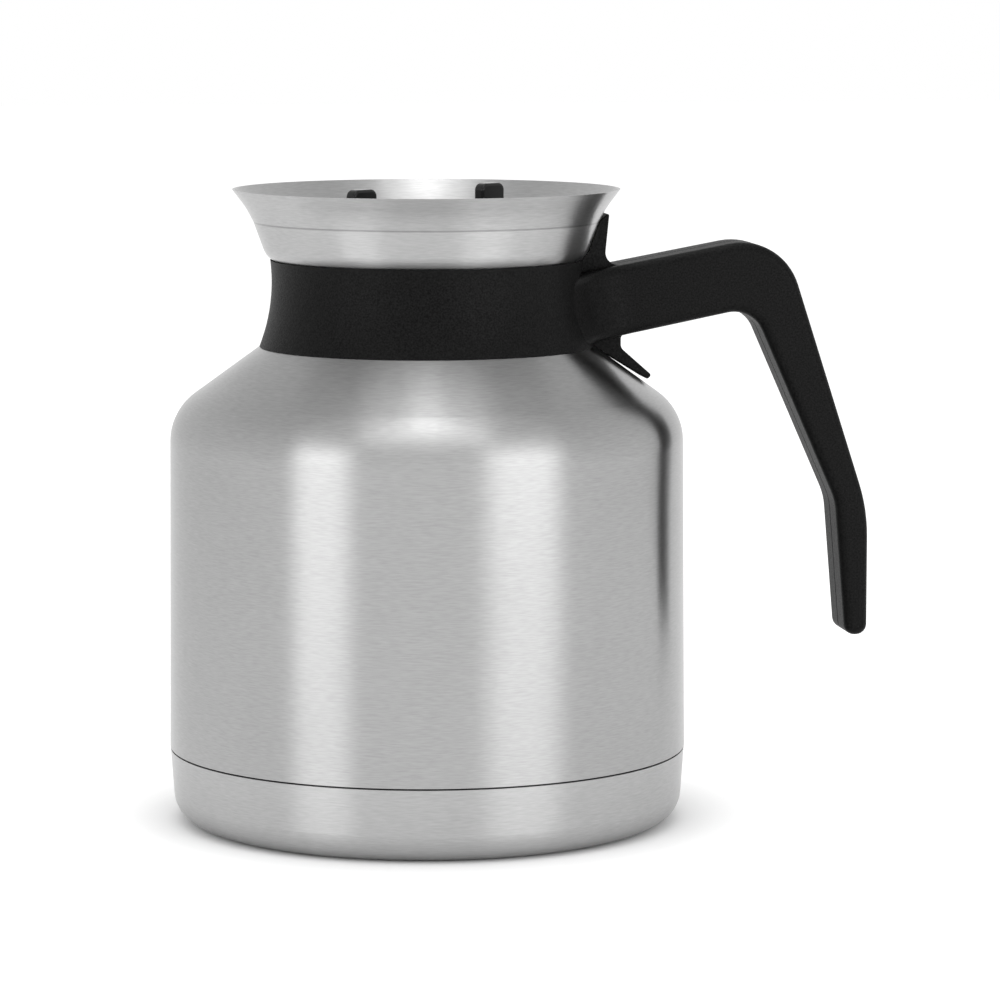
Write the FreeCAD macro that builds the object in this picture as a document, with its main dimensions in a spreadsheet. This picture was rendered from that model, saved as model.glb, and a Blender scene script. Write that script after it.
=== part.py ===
import FreeCAD, Part
import math
import os
import re

import Sketcher

# A vacuum carafe with a flared steel mouth, a two-piece moulded handle and a drop-in brew-through lid.
# The origin is the centre of the base, +Z points up and the handle points along +X.
# Sizes are in millimetres and degrees.

SIZES = {
    # Steel vessel: outer wall, shoulder and neck
    "body_radius": 73.0,
    "body_taper": 0.8,
    "body_length": 94.7,
    "shoulder_rise": 22.2,
    "shoulder_bend": 16.0,
    "neck_radius": 41.6,
    "neck_length": 21.0,
    "neck_bend": 4.0,
    "steel_wall": 0.6,
    "vacuum_gap": 5.4,
    "neck_gap": 1.4,
    "weld_fit": 0.1,
    # Base cup and the parts above it
    "seam_height": 21.1,
    "seam_gap": 0.5,
    "seam_step": 0.1,
    "base_taper": 1.5,
    "base_bend": 8.2,
    "skirt_length": 5.0,
    "bottom_height": 9.0,
    "bottom_bend": 3.0,
    "seal_radius": 7.0,
    "seal_depth": 2.0,
    "seal_edge": 0.8,
    "getter_radius": 6.0,
    "getter_thickness": 1.5,
    "getter_reach": 30.0,
    # Inner flask
    "flask_bottom_depth": 25.0,
    "flask_foot_bend": 10.0,
    # Pouring mouth, each step measured from the one below it
    "mouth_skirt": 9.1,
    "mouth_neck_bend": 2.0,
    "ledge_overhang": 3.2,
    "ledge_drop": 1.9,
    "ledge_bend": 6.0,
    "crease_reach": 3.7,
    "crease_rise": 10.2,
    "crease_bend": 3.0,
    "flare_reach": 1.9,
    "flare_rise": 3.8,
    "flare_bend": 24.0,
    "rim_reach": 4.0,
    "rim_rise": 5.3,
    # Collar of the handle, round the neck
    "collar_fit": 0.3,
    "shoulder_fit": 0.1,
    "collar_foot_step": 5.6,
    "collar_foot_sink": 0.25,
    "collar_waist_step": 0.9,
    "collar_waist_rise": 8.8,
    "collar_waist_share": 0.97,
    "collar_top_step": 2.3,
    # Arm and grip, steps along the outline in the middle plane
    "handle_thickness": 19.0,
    "handle_edge": 2.5,
    "parting_chamfer": 0.3,
    "arm_root_depth": 11.6,
    "arm_root_rise": 14.3,
    "arm_root_height": 20.3,
    "arm_climb": 13.0,
    "elbow_gap": 27.5,
    "elbow_width": 8.5,
    "elbow_depth": 20.9,
    "elbow_outer_bend": 17.5,
    "elbow_inner_bend": 9.0,
    "grip_lean": 25.5,
    "grip_drop": 79.2,
    "knee_width": 9.6,
    "knee_lift": 2.8,
    "knee_outer_bend": 50.0,
    "knee_inner_bend": 18.0,
    "grip_tail": 36.0,
    "grip_end_width": 6.4,
    "grip_end_share": 0.032,
    "arm_flare_length": 8.2,
    "arm_flare_step": 3.4,
    "arm_flare_share": 0.66,
    "arm_flare_bend": 18.0,
    "arm_flare_lean_share": 0.16,
    # Rib with the fin against the mouth and the prong on the shoulder
    "rib_width": 11.0,
    "rib_edge": 0.4,
    "rib_web_length": 5.4,
    "fin_tip_reach": 2.8,
    "fin_tip_rise": 2.6,
    "fin_tip_bend": 0.5,
    "fin_top_drop": 20.0,
    "fin_foot_length": 8.1,
    "fin_foot_bend": 3.5,
    "prong_heel_share": 0.3,
    "prong_root_share": 0.425,
    "prong_root_bend": 1.4,
    "prong_knee_drop": 3.7,
    "prong_knee_bend": 2.2,
    "prong_toe_share": 0.676,
    "prong_toe_lift": 1.2,
    "prong_tip_width": 1.2,
    "prong_tip_depth": 1.2,
    "prong_tip_bend": 0.7,
    # Screws through the handle, from the rear
    "screw_radius": 1.5,
    "screw_fit": 0.1,
    "screw_grip": 6.0,
    "screw_head_radius": 2.8,
    "screw_head_height": 2.0,
    "screw_seat_depth": 4.5,
    "root_screw_length": 22.4,
    "elbow_screw_share": 0.4,
    "grip_screw_share": 0.71,
    # Lid
    "lid_fit": 0.3,
    "lid_angle": 36.9,
    "lid_wall": 2.0,
    "flange_inset": 2.4,
    "flange_rise": 3.0,
    "flange_width": 2.4,
    "flange_edge": 0.8,
    "funnel_depth": 9.5,
    "spout_bore_radius": 6.5,
    "spout_wall": 1.5,
    "spout_fit": 0.1,
    "seat_width": 2.3,
    "wing_inset": 12.0,
    "wing_width": 9.0,
    "wing_thickness": 3.6,
    "wing_proud": 0.7,
    "wing_corner": 2.0,
    "wing_edge": 0.8,
    "pour_slot_inset": 6.0,
    "pour_slot_length": 13.0,
    "pour_slot_width": 3.6,
    "pour_slot_corner": 1.5,
    # Plug, gasket and mixing tube
    "plug_fit": 1.7,
    "plug_wall": 3.2,
    "plug_depth": 18.0,
    "plug_foot_bend": 3.0,
    "groove_rise": 6.0,
    "groove_width": 4.0,
    "groove_depth": 1.6,
    "gasket_lip": 0.7,
    "gasket_back": 1.2,
    "tube_wall": 1.2,
    "tube_gap": 8.4,
    "socket_wall": 1.4,
    "socket_depth": 9.0,
    "tube_notch_width": 5.0,
    "tube_notch_height": 8.0,
    # Every cut runs past the solid by this much
    "overrun": 5.0,
}

POUR_SLOT_COUNT = 6
WING_COUNT = 2
TOLERANCE = 1e-6

# Places worked out from the sizes, as formulas: first the vessel from the base up
SHOULDER_HEIGHT = "(seam_height + body_length)"
NECK_FOOT = f"({SHOULDER_HEIGHT} + shoulder_rise)"
LEDGE_HEIGHT = f"({NECK_FOOT} + neck_length)"
CREASE_HEIGHT = f"({LEDGE_HEIGHT} + crease_rise)"
FLARE_HEIGHT = f"({CREASE_HEIGHT} + flare_rise)"
RIM_HEIGHT = f"({FLARE_HEIGHT} + rim_rise)"
MOUTH_FOOT = f"({LEDGE_HEIGHT} - ledge_drop - mouth_skirt)"
FLASK_FLOOR = "(bottom_height + steel_wall + vacuum_gap)"
FLASK_JOINT = f"({FLASK_FLOOR} + flask_bottom_depth)"

BODY_TOP_RADIUS = "(body_radius - body_taper)"
BASE_RADIUS = "(body_radius - seam_step)"
SKIRT_RADIUS = f"({BASE_RADIUS} - base_taper * skirt_length / seam_height - steel_wall - weld_fit)"
FLASK_RADIUS = f"({BODY_TOP_RADIUS} - steel_wall - vacuum_gap)"
FLASK_NECK_RADIUS = "(neck_radius - steel_wall - neck_gap)"
NECK_BORE_RADIUS = f"({FLASK_NECK_RADIUS} - steel_wall)"
LEDGE_RADIUS = "(neck_radius + ledge_overhang)"
CREASE_RADIUS = f"({LEDGE_RADIUS} + crease_reach)"
FLARE_RADIUS = f"({CREASE_RADIUS} + flare_reach)"
RIM_RADIUS = f"({FLARE_RADIUS} + rim_reach)"
SHOULDER_SLOPE = f"(shoulder_rise / ({BODY_TOP_RADIUS} - neck_radius))"
LEDGE_SLOPE = f"(ledge_drop / ({LEDGE_RADIUS} - {FLASK_NECK_RADIUS}))"

# The handle, from the neck outwards and down
ARM_ROOT = "(neck_radius - arm_root_depth)"
ARM_ROOT_TOP = f"({NECK_FOOT} + arm_root_rise)"
ARM_ROOT_UNDER = f"({ARM_ROOT_TOP} - arm_root_height)"
ELBOW_REACH = "(body_radius + elbow_gap)"
ELBOW_HEIGHT = f"({ARM_ROOT_TOP} + arm_climb)"
INNER_ELBOW_REACH = f"({ELBOW_REACH} - elbow_width)"
INNER_ELBOW_HEIGHT = f"({ELBOW_HEIGHT} - elbow_depth)"
GRIP_REACH = f"({ELBOW_REACH} + grip_lean)"
KNEE_HEIGHT = f"({ELBOW_HEIGHT} - grip_drop)"
INNER_KNEE_REACH = f"({GRIP_REACH} - knee_width)"
INNER_KNEE_HEIGHT = f"({KNEE_HEIGHT} + knee_lift)"
GRIP_END_HEIGHT = f"({KNEE_HEIGHT} - grip_tail)"
GRIP_END_BEND = "((1 - grip_end_share) * grip_end_width / 2)"
ARM_TOP_SLOPE = f"(arm_climb / ({ELBOW_REACH} - {ARM_ROOT}))"
ARM_UNDER_SLOPE = f"(({INNER_ELBOW_HEIGHT} - {ARM_ROOT_UNDER}) / ({INNER_ELBOW_REACH} - {ARM_ROOT}))"
ARM_FLARE_SHIFT = f"(arm_flare_lean_share * ({ARM_ROOT_TOP} + {ARM_ROOT_UNDER}) / 2)"
ARM_FLARE_REACH = f"(neck_radius + arm_flare_length + {ARM_FLARE_SHIFT})"
ARM_FLARE_ROOT = f"({ARM_ROOT} + arm_flare_step + {ARM_FLARE_SHIFT})"
ARM_FLARE_HALF = "(arm_flare_share * neck_radius)"
SEAT_REACH = "(handle_thickness / 2 - screw_seat_depth)"

# The lid, from the ledge that it rests on
FLANGE_RADIUS = f"({LEDGE_RADIUS} - flange_inset)"
FLANGE_TOP = f"({LEDGE_HEIGHT} + flange_rise)"
FUNNEL_RADIUS = f"({FLANGE_RADIUS} - flange_width)"
FUNNEL_FOOT = f"({FLANGE_TOP} - funnel_depth)"
FUNNEL_SLOPE = f"(funnel_depth / ({FUNNEL_RADIUS} - spout_bore_radius))"
PLUG_RADIUS = f"({NECK_BORE_RADIUS} - plug_fit)"
PLUG_FOOT = f"({LEDGE_HEIGHT} - plug_depth)"
SEAT_RADIUS = f"({PLUG_RADIUS} - seat_width)"
GROOVE_RADIUS = f"({PLUG_RADIUS} - groove_depth)"
GROOVE_FOOT = f"({PLUG_FOOT} + groove_rise)"
SPOUT_RADIUS = "(spout_bore_radius + spout_wall)"
SOCKET_FLOOR = f"({PLUG_FOOT} - socket_depth)"
SOCKET_BORE_RADIUS = f"({SPOUT_RADIUS} + spout_fit)"
TUBE_FOOT = f"({FLASK_FLOOR} + steel_wall + tube_gap)"


def shoulder_at(radius):
    """Height of the outer shoulder's straight cone at a radius."""
    return f"({SHOULDER_HEIGHT} + {SHOULDER_SLOPE} * ({BODY_TOP_RADIUS} - ({radius})))"


def shoulder_reach(share):
    """Radius at a share of the way from the neck out to the body's wall."""
    return f"(neck_radius + {share} * ({BODY_TOP_RADIUS} - neck_radius))"


def flask_shoulder_at(radius):
    """Height of the flask's shoulder, a wall and the vacuum gap inside the outer one."""
    return f"({shoulder_at(radius)} - (steel_wall + vacuum_gap) * sqrt(1 + {SHOULDER_SLOPE} ^ 2))"


def ledge_at(radius):
    """Height of the mouth's ledge, on its underside, at a radius."""
    return f"({LEDGE_HEIGHT} - {LEDGE_SLOPE} * ({LEDGE_RADIUS} - ({radius})))"


def lid_seat_at(radius):
    """Height of the flange's underside, clear of the ledge's upper side, at a radius."""
    return f"({ledge_at(radius)} + (steel_wall + lid_fit) * sqrt(1 + {LEDGE_SLOPE} ^ 2))"


def arm_top_at(reach):
    """Height of the arm's top line at a distance from the axis."""
    return f"({ARM_ROOT_TOP} + {ARM_TOP_SLOPE} * (({reach}) - {ARM_ROOT}))"


def arm_under_at(reach):
    """Height of the arm's underside line at a distance from the axis."""
    return f"({ARM_ROOT_UNDER} + {ARM_UNDER_SLOPE} * (({reach}) - {ARM_ROOT}))"


def funnel_under_at(radius):
    """Height of the funnel's underside, a lid wall below its top."""
    return (f"({FUNNEL_FOOT} + {FUNNEL_SLOPE} * (({radius}) - spout_bore_radius)"
            f" - lid_wall * sqrt(1 + {FUNNEL_SLOPE} ^ 2))")


def part_way(share, start, finish):
    """Value at a share of the way between two others."""
    return f"({start} + {share} * ({finish} - {start}))"


LID_SEAT_RADIUS = f"({NECK_BORE_RADIUS} - lid_fit)"
LID_SEAT = lid_seat_at(LID_SEAT_RADIUS)

doc = FreeCAD.newDocument("thermal_carafe")
sheet = doc.addObject("Spreadsheet::Sheet", "sizes")
for row, (alias, number) in enumerate(SIZES.items(), start=1):
    sheet.set(f"A{row}", alias)
    sheet.set(f"B{row}", str(number))
    sheet.setAlias(f"B{row}", alias)
doc.recompute()


def bound(formula):
    """Write the sheet's name before each size in a formula, as an expression needs it."""
    return re.sub(r"[a-z_]+", lambda word: "sizes." + word[0] if word[0] in SIZES else word[0], formula)


def number(formula):
    """Present value of a formula of sizes."""
    return float(sheet.evalExpression(bound(formula)))


def new_body(name):
    """Empty body whose label names its piece."""
    body = doc.addObject("PartDesign::Body", name)
    body.Label = name
    return body


def new_sketch(body, name, role):
    """Empty sketch on one of the body's own origin planes."""
    plane = next(feature for feature in body.Origin.OriginFeatures if feature.Role == role)
    sketch = body.newObject("Sketcher::SketchObject", name)
    sketch.AttachmentSupport = [(plane, "")]
    sketch.MapMode = "FlatFace"
    return sketch


def place_point(sketch, geometry, position, across, along):
    """Tie a point of the sketch to two formulas, or to an axis where a formula is zero."""
    kinds = (("DistanceX", across, -2), ("DistanceY", along, -1))
    for kind, formula, axis in kinds:
        if formula == "0":
            sketch.addConstraint(Sketcher.Constraint("PointOnObject", geometry, position, axis))
            continue
        constraint = Sketcher.Constraint(kind, -1, 1, geometry, position, number(formula))
        index = sketch.addConstraint(constraint)
        sketch.setExpression(f"Constraints[{index}]", bound(formula))


def draw_outline(body, name, role, corners):
    """Closed outline of straight runs; a corner with a third formula is rounded by a tangent arc."""
    sketch = new_sketch(body, name, role)
    count = len(corners)
    points = [FreeCAD.Vector(number(corner[0]), number(corner[1]), 0) for corner in corners]
    arrivals = []
    departures = []
    middles = []
    for index, corner in enumerate(corners):
        here = points[index]
        back = (points[index - 1] - here).normalize()
        ahead = (points[(index + 1) % count] - here).normalize()
        half_angle = back.getAngle(ahead) / 2
        radius = number(corner[2]) if len(corner) > 2 else 0
        arrivals.append(here + back * (radius / math.tan(half_angle)))
        departures.append(here + ahead * (radius / math.tan(half_angle)))
        inward = back + ahead
        reach = radius / math.sin(half_angle) - radius
        middles.append(here + inward.normalize() * reach if radius else here)
    runs = []
    for index in range(count):
        segment = Part.LineSegment(departures[index], arrivals[(index + 1) % count])
        runs.append(sketch.addGeometry(segment, False))
    for index, corner in enumerate(corners):
        arriving = runs[index - 1]
        leaving = runs[index]
        if len(corner) == 2:
            sketch.addConstraint(Sketcher.Constraint("Coincident", arriving, 2, leaving, 1))
            place_point(sketch, leaving, 1, corner[0], corner[1])
            continue
        arc = sketch.addGeometry(Part.Arc(arrivals[index], middles[index], departures[index]), False)
        starts_here = sketch.getPoint(arc, 1).distanceToPoint(arrivals[index])
        ends_here = sketch.getPoint(arc, 2).distanceToPoint(arrivals[index])
        first, last = (1, 2) if starts_here < ends_here else (2, 1)
        corner_point = sketch.addGeometry(Part.Point(points[index]), True)
        sketch.addConstraint([
            Sketcher.Constraint("Tangent", arriving, 2, arc, first),
            Sketcher.Constraint("Tangent", arc, last, leaving, 1),
            Sketcher.Constraint("PointOnObject", corner_point, 1, arriving),
            Sketcher.Constraint("PointOnObject", corner_point, 1, leaving),
        ])
        place_point(sketch, corner_point, 1, corner[0], corner[1])
        rounding = sketch.addConstraint(Sketcher.Constraint("Radius", arc, number(corner[2])))
        sketch.setExpression(f"Constraints[{rounding}]", bound(corner[2]))
    return sketch


def draw_circles(body, name, places, radius):
    """Equal circles on the middle plane, their centres and radius tied to formulas."""
    sketch = new_sketch(body, name, "XZ_Plane")
    for across, along in places:
        centre = FreeCAD.Vector(number(across), number(along), 0)
        ring = sketch.addGeometry(Part.Circle(centre, FreeCAD.Vector(0, 0, 1), number(radius)), False)
        place_point(sketch, ring, 3, across, along)
        size = sketch.addConstraint(Sketcher.Constraint("Radius", ring, number(radius)))
        sketch.setExpression(f"Constraints[{size}]", bound(radius))
    return sketch


def revolve(body, name, sketch, kind="Revolution", angle=360, turned_back=False):
    """Turn a profile about the sketch's upright axis, adding or, as a Groove, taking away."""
    feature = body.newObject(f"PartDesign::{kind}", name)
    feature.Profile = sketch
    feature.ReferenceAxis = (sketch, ["V_Axis"])
    feature.Angle = angle
    feature.Reversed = turned_back
    doc.recompute()
    return feature


def extrude(body, name, sketch, length, kind="Pad", turned_back=False, midplane=False, lean=None):
    """Pad or Pocket of a formula's length, with its sketch as base; it may rise with a lean along X."""
    feature = body.newObject(f"PartDesign::{kind}", name)
    feature.Profile = sketch
    feature.setExpression("Length", bound(length))
    feature.Reversed = turned_back
    feature.Midplane = midplane
    if lean:
        feature.UseCustomVector = True
        feature.AlongSketchNormal = True
        feature.Direction = FreeCAD.Vector(0, 0, 1)
        feature.setExpression("Direction.x", bound(lean))
    doc.recompute()
    return feature


def hollow(body, name, solid, open_heights):
    """Leave a steel wall inside a turned solid, open at the flat faces of the given heights."""
    heights = [number(height) for height in open_heights]
    names = []
    for index, face in enumerate(solid.Shape.Faces, start=1):
        box = face.optimalBoundingBox(False, False)
        nearest = min(abs(box.ZMin - height) for height in heights)
        if box.ZLength < TOLERANCE and nearest < TOLERANCE:
            names.append(f"Face{index}")
    feature = body.newObject("PartDesign::Thickness", name)
    feature.Base = (solid, names)
    feature.setExpression("Value", bound("steel_wall"))
    feature.Reversed = True
    doc.recompute()
    return feature


def edges_where(feature, wanted):
    """Names of the feature's edges whose box passes a test."""
    boxes = [edge.optimalBoundingBox(False, False) for edge in feature.Shape.Edges]
    return [f"Edge{index}" for index, box in enumerate(boxes, start=1) if wanted(box)]


def dress(body, name, solid, kind, names, radius):
    """Fillet or Chamfer of a formula's size on the named edges."""
    feature = body.newObject(f"PartDesign::{kind}", name)
    feature.Base = (solid, names)
    feature.setExpression("Radius" if kind == "Fillet" else "Size", bound(radius))
    doc.recompute()
    return feature


def repeat_round(body, name, original, count):
    """Copies of a feature, evenly round the upright axis."""
    axis = next(feature for feature in body.Origin.OriginFeatures if feature.Role == "Z_Axis")
    feature = body.newObject("PartDesign::PolarPattern", name)
    feature.Originals = [original]
    feature.Axis = (axis, [""])
    feature.Angle = 360
    feature.Occurrences = count
    body.Tip = feature
    doc.recompute()
    return feature


def turned_sheet(name, corners, open_heights):
    """Piece of spun or drawn sheet steel: a turned outline with one wall left inside it."""
    body = new_body(name)
    profile = draw_outline(body, f"{name}_profile", "XZ_Plane", corners)
    solid = revolve(body, f"{name}_turned", profile)
    hollow(body, f"{name}_wall", solid, open_heights)
    return body


def turned_solid(name, corners):
    """Piece turned from one closed profile."""
    body = new_body(name)
    profile = draw_outline(body, f"{name}_profile", "XZ_Plane", corners)
    revolve(body, f"{name}_turned", profile)
    return body


def make_outer_shell():
    """Outer wall: a skirt inside the base cup, the body, the shoulder and the neck up to the mouth."""
    foot = "seam_height - skirt_length"
    top = f"{ledge_at('neck_radius - steel_wall')} - weld_fit"
    return turned_sheet("outer_shell", [
        ("0", foot),
        (SKIRT_RADIUS, foot),
        (SKIRT_RADIUS, "seam_height"),
        ("body_radius", "seam_height"),
        (BODY_TOP_RADIUS, SHOULDER_HEIGHT, "shoulder_bend"),
        ("neck_radius", NECK_FOOT, "neck_bend"),
        ("neck_radius", top),
        ("0", top),
    ], [foot, top])


def make_base_cup():
    """Cup pressed over the skirt, with a flat floor and a rounded foot."""
    top = "seam_height - seam_gap"
    return turned_sheet("base_cup", [
        ("0", "0"),
        (f"{BASE_RADIUS} - base_taper", "0", "base_bend"),
        (BASE_RADIUS, top),
        ("0", top),
    ], [top])


def make_outer_bottom():
    """Dish that closes the vacuum space, welded inside the skirt."""
    radius = f"{SKIRT_RADIUS} - steel_wall - weld_fit"
    return turned_sheet("outer_bottom", [
        ("0", "bottom_height"),
        (radius, "bottom_height", "bottom_bend"),
        (radius, "seam_height"),
        ("0", "seam_height"),
    ], ["seam_height"])


def make_vacuum_seal():
    """Button over the hole that the air was drawn out of, under the middle of the outer bottom."""
    return turned_solid("vacuum_seal", [
        ("0", "bottom_height - seal_depth"),
        ("seal_radius", "bottom_height - seal_depth", "seal_edge"),
        ("seal_radius", "bottom_height"),
        ("0", "bottom_height"),
    ])


def make_getter():
    """Pellet that takes up stray gas, on the outer bottom inside the vacuum space."""
    pellet = doc.addObject("Part::Cylinder", "getter")
    pellet.Label = "getter"
    pellet.setExpression("Radius", bound("getter_radius"))
    pellet.setExpression("Height", bound("getter_thickness"))
    pellet.setExpression("Placement.Base.x", bound("getter_reach"))
    pellet.setExpression("Placement.Base.z", bound("bottom_height + steel_wall"))
    return pellet


def make_flask_bottom():
    """Drawn bottom of the inner flask, butt welded to its wall."""
    return turned_sheet("flask_bottom", [
        ("0", FLASK_FLOOR),
        (FLASK_RADIUS, FLASK_FLOOR, "flask_foot_bend"),
        (FLASK_RADIUS, FLASK_JOINT),
        ("0", FLASK_JOINT),
    ], [FLASK_JOINT])


def make_inner_flask():
    """Inner wall, shoulder and neck, which hold the drink."""
    return turned_sheet("inner_flask", [
        ("0", FLASK_JOINT),
        (FLASK_RADIUS, FLASK_JOINT),
        (FLASK_RADIUS, flask_shoulder_at(FLASK_RADIUS), "shoulder_bend - steel_wall - vacuum_gap"),
        (FLASK_NECK_RADIUS, flask_shoulder_at(FLASK_NECK_RADIUS), "neck_bend"),
        (FLASK_NECK_RADIUS, MOUTH_FOOT),
        ("0", MOUTH_FOOT),
    ], [FLASK_JOINT, MOUTH_FOOT])


def make_pouring_mouth():
    """Spun mouth: a skirt on the flask's neck, a ledge for the lid, a crease and a flare to the rim."""
    return turned_sheet("pouring_mouth", [
        ("0", MOUTH_FOOT),
        (FLASK_NECK_RADIUS, MOUTH_FOOT),
        (FLASK_NECK_RADIUS, f"{LEDGE_HEIGHT} - ledge_drop", "mouth_neck_bend"),
        (LEDGE_RADIUS, LEDGE_HEIGHT, "ledge_bend"),
        (CREASE_RADIUS, CREASE_HEIGHT, "crease_bend"),
        (FLARE_RADIUS, FLARE_HEIGHT, "flare_bend"),
        (RIM_RADIUS, RIM_HEIGHT),
        ("0", RIM_HEIGHT),
    ], [MOUTH_FOOT, RIM_HEIGHT])


def screw_places():
    """Reach and height of each screw: at the arm's root, in the elbow and half way down the grip."""
    root = "(neck_radius + root_screw_length)"
    elbow = [part_way("elbow_screw_share", INNER_ELBOW_REACH, ELBOW_REACH),
             part_way("elbow_screw_share", INNER_ELBOW_HEIGHT, ELBOW_HEIGHT)]
    grip = [part_way("grip_screw_share", f"(({upper}) / 2)", f"(({lower}) / 2)") for upper, lower in (
        (f"{INNER_ELBOW_REACH} + {ELBOW_REACH}", f"{INNER_KNEE_REACH} + {GRIP_REACH}"),
        (f"{INNER_ELBOW_HEIGHT} + {ELBOW_HEIGHT}", f"{INNER_KNEE_HEIGHT} + {KNEE_HEIGHT}"),
    )]
    return [(root, f"({arm_top_at(root)} + {arm_under_at(root)}) / 2"), elbow, grip]


def draw_rib(body, name):
    """Outline of the rib: a fin against the mouth above the arm and a prong on the shoulder below it."""
    fin_tip = f"{CREASE_HEIGHT} + fin_tip_rise"
    fin_foot = "neck_radius + fin_foot_length"
    root = shoulder_reach("prong_root_share")
    web = f"{root} + rib_web_length"
    toe = shoulder_reach("prong_toe_share")
    toe_height = f"{shoulder_at(toe)} + prong_toe_lift"
    heel = shoulder_reach("prong_heel_share")
    return draw_outline(body, name, "XZ_Plane", [
        (ARM_ROOT, f"{fin_tip} - fin_top_drop"),
        (f"{CREASE_RADIUS} + fin_tip_reach", fin_tip, "fin_tip_bend"),
        (fin_foot, arm_top_at(fin_foot), "fin_foot_bend"),
        (web, arm_top_at(web)),
        (web, arm_under_at(web)),
        (root, arm_under_at(root), "prong_root_bend"),
        (root, f"{arm_under_at(root)} - prong_knee_drop", "prong_knee_bend"),
        (f"{toe} + prong_tip_width", f"{toe_height} + prong_tip_depth", "prong_tip_bend"),
        (toe, toe_height, "prong_tip_bend"),
        (heel, shoulder_at(heel)),
        (ARM_ROOT, shoulder_at(heel)),
    ])


def draw_arm(body, name):
    """Outline of arm and grip, from inside the collar round the elbow and knee to the rounded end."""
    return draw_outline(body, name, "XZ_Plane", [
        (ARM_ROOT, ARM_ROOT_TOP),
        (ELBOW_REACH, ELBOW_HEIGHT, "elbow_outer_bend"),
        (GRIP_REACH, KNEE_HEIGHT, "knee_outer_bend"),
        (GRIP_REACH, GRIP_END_HEIGHT, GRIP_END_BEND),
        (f"{GRIP_REACH} - grip_end_width", GRIP_END_HEIGHT, GRIP_END_BEND),
        (INNER_KNEE_REACH, INNER_KNEE_HEIGHT, "knee_inner_bend"),
        (INNER_ELBOW_REACH, INNER_ELBOW_HEIGHT, "elbow_inner_bend"),
        (ARM_ROOT, ARM_ROOT_UNDER),
    ])


def draw_vessel(body, name):
    """Outline of the shoulder, neck and mouth, moved out by the collar's fit."""
    up_cone = f"shoulder_fit * sqrt(1 + {SHOULDER_SLOPE} ^ 2)"
    neck = "neck_radius + collar_fit"
    return draw_outline(body, name, "XZ_Plane", [
        ("0", f"{SHOULDER_HEIGHT} + {up_cone}"),
        (BODY_TOP_RADIUS, f"{SHOULDER_HEIGHT} + {up_cone}"),
        (neck, f"{shoulder_at(neck)} + {up_cone}", "neck_bend"),
        (neck, f"{ledge_at('neck_radius')} - collar_fit"),
        (f"{LEDGE_RADIUS} + collar_fit", f"{LEDGE_HEIGHT} - collar_fit", "ledge_bend"),
        (f"{CREASE_RADIUS} + collar_fit", f"{CREASE_HEIGHT} - collar_fit"),
        (f"{FLARE_RADIUS} + collar_fit", f"{FLARE_HEIGHT} - collar_fit", "flare_bend"),
        (f"{RIM_RADIUS} + collar_fit", f"{RIM_HEIGHT} - collar_fit"),
        ("0", f"{RIM_HEIGHT} - collar_fit"),
    ])


def draw_collar(body, name):
    """Outline of the waisted collar; the vessel is cut out of it afterwards."""
    foot_radius = "(neck_radius + collar_foot_step)"
    waist_radius = "(neck_radius + collar_waist_step)"
    top_radius = "(neck_radius + collar_top_step)"
    foot = f"({shoulder_at(foot_radius)} - collar_foot_sink)"
    waist = f"({NECK_FOOT} + collar_waist_rise)"
    top = f"({LEDGE_HEIGHT} - collar_fit)"
    lower_lean = f"(({foot_radius} - {waist_radius}) / ({waist} - {foot}))"
    upper_lean = f"(({top_radius} - {waist_radius}) / ({top} - {waist}))"
    turn = f"(atan({lower_lean}) + atan({upper_lean}))"
    # The waist's arc takes up this share of the shorter of its two straight runs
    run = f"min({waist} - {foot}; {top} - {waist})"
    waist_bend = f"collar_waist_share * {run} / tan({turn} / 2)"
    return draw_outline(body, name, "XZ_Plane", [
        ("neck_radius", f"{foot} - overrun"),
        (foot_radius, f"{foot} - overrun"),
        (foot_radius, foot),
        (waist_radius, waist, waist_bend),
        (top_radius, top),
        (top_radius, CREASE_HEIGHT),
        ("neck_radius", CREASE_HEIGHT),
    ])


def lies_at(box, reach):
    """Whether an edge's box is flat and this far from the middle plane."""
    return box.YLength < TOLERANCE and abs(abs(box.YMin) - reach) < TOLERANCE


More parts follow.
